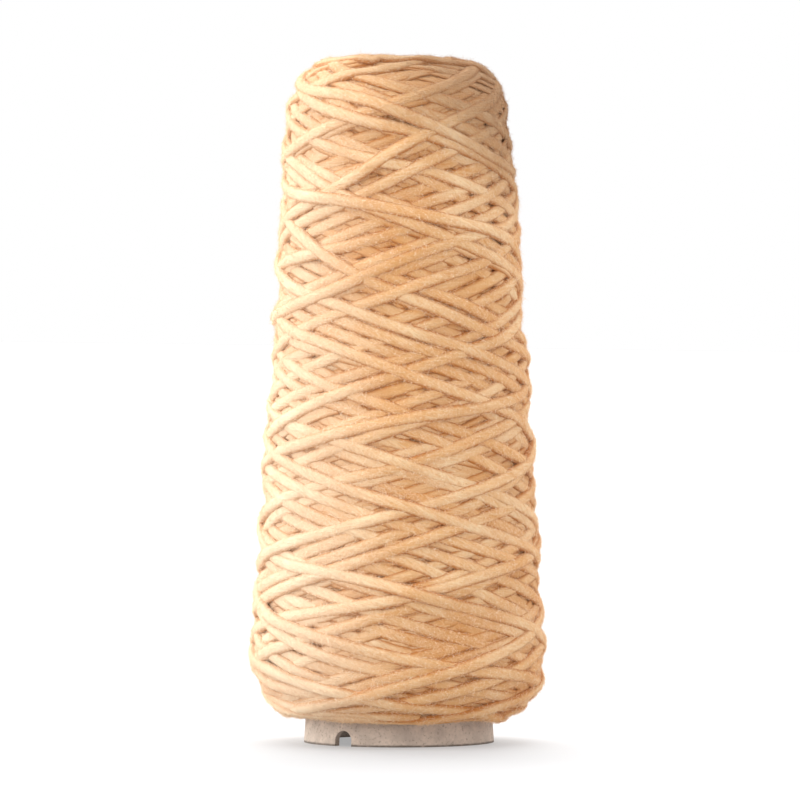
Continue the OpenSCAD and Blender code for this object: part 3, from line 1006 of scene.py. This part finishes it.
class WindYarn(bpy.types.Operator):
    """Winds the yarn on the tube, stroke by stroke, and lays the deep yarn under it"""

    bl_idname = "yarn_cone.wind_yarn"
    bl_label = "Wind the yarn"

    def execute(self, context):
        sizes, finish = context.scene.yarn_cone_winding, context.scene.yarn_cone_yarn
        rows = wind(sizes)
        mottle = bpy.data.node_groups.get("Mottle") or mottle_group()
        yarn = yarn_material(finish, fibre_group(), mottle, painted_light_group())
        tree = strand_tree()
        stroke = rows["stroke"]
        shown = np.array([rows["exposed"][stroke == k].mean() for k in range(stroke[-1] + 1)])
        last = stroke[-1]
        low, high = last - MIDDLE_STROKES_SHOWN, last - OUTER_STROKES_SHOWN
        first = min(int(np.argmax(shown > LEAST_SHOWN)), last - DEEP_STROKES_SHOWN)
        parts = (("yarn_deep_turns", (stroke >= first) & (stroke < low), 8),
                 ("yarn_middle_turns", (stroke >= low) & (stroke < high), 10),
                 ("yarn_outer_turns", stroke >= high, 12))
        made = {}
        for name, chosen, sides in parts:
            ends = np.flatnonzero(chosen)
            part = slice(ends[0], min(ends[-1] + 2, len(stroke)))
            made[name] = grow(name, path_mesh(name + "_path", rows, part), tree, {
                "Width": sizes.strand_width, "Thickness": sizes.strand_thickness, "Sides": sides,
                "Twist": finish.twist, "Finish": yarn})
            keep(made[name])
        core = keep(turned_core(rows["outline"], finish.twist, yarn))
        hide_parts("outer_yarn")
        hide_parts("inner_yarn")
        return {"FINISHED"}


class RaiseFuzz(bpy.types.Operator):
    """Raises the fine fuzz of loose fibres on the strands that show"""

    bl_idname = "yarn_cone.raise_fuzz"
    bl_label = "Raise the fuzz"

    def execute(self, context):
        finish = context.scene.yarn_cone_yarn
        tree, material = fuzz_tree(), fuzz_material(finish, bpy.data.node_groups.get("Weather") or painted_light_group())
        kinds = [(finish.down_count, kind) for kind in DOWN] + [(finish.stray_count, kind) for kind in STRAYS]
        for density, (name, carrier, length, rise, curl, seed) in kinds:
            piece = grow(name, bpy.data.objects[carrier].data.copy(), tree, {
                "Density": density, "Length": length, "Rise": rise, "Thickness": finish.fibre_thickness,
                "Curl": curl, "Seed": seed, "Finish": material})
            keep(piece)
        return {"FINISHED"}


class SetStage(bpy.types.Operator):
    """Sets the white floor, the lights and the camera"""

    bl_idname = "yarn_cone.set_stage"
    bl_label = "Set the stage"

    def execute(self, context):
        stage, scene = context.scene.yarn_cone_stage, context.scene
        turn = stage.camera_angle
        toward = Vector((math.sin(turn), -math.cos(turn), 0))
        right = Vector((math.cos(turn), math.sin(turn), 0))
        up = Vector((0, 0, 1))
        self.add_camera(scene, stage, toward, right)
        floor = self.add_floor(scene)
        key = self.add_light("key_light", 0.5 * up - right - 0.12 * toward, 80, stage.key, KEY_TINT)
        self.add_light("top_light", up, 60, stage.top)
        self.add_light("back_light", 0.6 * up - toward, 80, stage.back)
        sweep = self.add_light("sweep_light", 0.75 * up - 0.2 * right - toward, 70, stage.sweep)
        side = self.add_light("side_light", 0.1 * up + 0.9 * right + 0.5 * toward, 70, stage.side, SIDE_TINT)
        self.link_floor(sweep, floor, "INCLUDE")
        self.link_floor(side, floor, "EXCLUDE")
        self.link_floor(key, floor, "EXCLUDE")
        self.add_room(scene, stage)
        scene.view_settings.view_transform = "Standard"
        return {"FINISHED"}

    @staticmethod
    def add_camera(scene, stage, toward, right):
        """A camera with a long lens, aimed at the cone's middle."""
        data = bpy.data.cameras.new("camera")
        data.lens = stage.lens
        data.sensor_width = 36
        data.clip_end = 20
        camera = bpy.data.objects.new("camera", data)
        scene.collection.objects.link(camera)
        camera.location = stage.camera_distance * toward + Vector((0, 0, stage.camera_height))
        aim = AIM_ASIDE * right + Vector((0, 0, stage.aim_height))
        camera.rotation_euler = (aim - camera.location).to_track_quat("-Z", "Y").to_euler()
        scene.camera = camera

    @staticmethod
    def add_floor(scene):
        """White paper that glows a little, so that the cone's shadow on it stays soft and pale."""
        mesh = bpy.data.meshes.new("floor")
        half = FLOOR_HALF
        mesh.from_pydata([(-half, -half, 0), (half, -half, 0), (half, half, 0), (-half, half, 0)], [], [(0, 1, 2, 3)])
        material, tree, shader = new_material("floor_paper")
        where = node(tree, "ShaderNodeTexCoord").outputs["Object"]
        tree.links.new(mix_colour(tree, noise(tree, where, 3.0), *FLOOR_TINTS), shader.inputs["Base Color"])
        set_inputs(shader, {"Roughness": 0.8, "Specular IOR Level": 0.1,
                            "Emission Color": (1, 1, 1, 1), "Emission Strength": FLOOR_GLOW})
        mesh.materials.append(material)
        floor = bpy.data.objects.new("floor", mesh)
        scene.collection.objects.link(floor)
        return floor

    @staticmethod
    def add_light(name, place, spread, strength, colour=(1, 1, 1)):
        """A broad, soft light that shines from a place towards the cone."""
        data = bpy.data.lights.new(name, "SUN")
        data.color = colour
        data.angle = math.radians(spread)
        data.energy = strength
        light = bpy.data.objects.new(name, data)
        bpy.context.scene.collection.objects.link(light)
        light.location = place
        light.rotation_euler = place.to_track_quat("Z", "Y").to_euler()
        return light

    @staticmethod
    def link_floor(light, floor, state):
        """Lights the floor alone, or everything but the floor."""
        lit = bpy.data.collections.new(light.name + "_floor")
        lit.objects.link(floor)
        lit.collection_objects[0].light_linking.link_state = state
        light.light_linking.receiver_collection = lit

    @staticmethod
    def add_room(scene, stage):
        """A white room that lights the cone and is itself seen as plain white."""
        world = bpy.data.worlds.new("white_room")
        scene.world = world
        world.use_nodes = True
        tree = world.node_tree
        tree.nodes.clear()
        seen = node(tree, "ShaderNodeLightPath").outputs["Is Camera Ray"]
        strength = node(tree, "ShaderNodeMix", {0: seen, 2: stage.room, 3: 1.0}, data_type="FLOAT").outputs[0]
        glow = node(tree, "ShaderNodeBackground", {"Color": (1, 1, 1, 1), "Strength": strength}).outputs[0]
        node(tree, "ShaderNodeOutputWorld", {"Surface": glow})


class ConePanel(bpy.types.Panel):
    """Lists the cone's settings and the steps that make it"""

    bl_idname = "VIEW3D_PT_yarn_cone"
    bl_label = "Yarn Cone"
    bl_space_type = "VIEW_3D"
    bl_region_type = "UI"
    bl_category = "Yarn Cone"

    def draw(self, context):
        for name, group in SETTINGS:
            box = self.layout.box()
            box.label(text=group.__doc__.split(":")[0].rstrip("."))
            for key in group.__annotations__:
                box.prop(getattr(context.scene, name), key)
        for step in STEPS:
            self.layout.operator(step.bl_idname)


SETTINGS = (("yarn_cone_winding", WindingSizes), ("yarn_cone_yarn", YarnFinish),
            ("yarn_cone_board", BoardFinish), ("yarn_cone_stage", StageSettings))
STEPS = (FinishBoard, WindYarn, RaiseFuzz, SetStage)


def register():
    for name, group in SETTINGS:
        bpy.utils.register_class(group)
        setattr(bpy.types.Scene, name, PointerProperty(type=group))
    for each in (*STEPS, ConePanel):
        bpy.utils.register_class(each)


def unregister():
    for each in (ConePanel, *reversed(STEPS)):
        bpy.utils.unregister_class(each)
    for name, group in reversed(SETTINGS):
        delattr(bpy.types.Scene, name)
        bpy.utils.unregister_class(group)


def main():
    """Makes every piece and the stage."""
    register()
    bpy.ops.yarn_cone.finish_board()
    bpy.ops.yarn_cone.wind_yarn()
    bpy.ops.yarn_cone.raise_fuzz()
    bpy.ops.yarn_cone.set_stage()


if __name__ == "__main__":
    main()
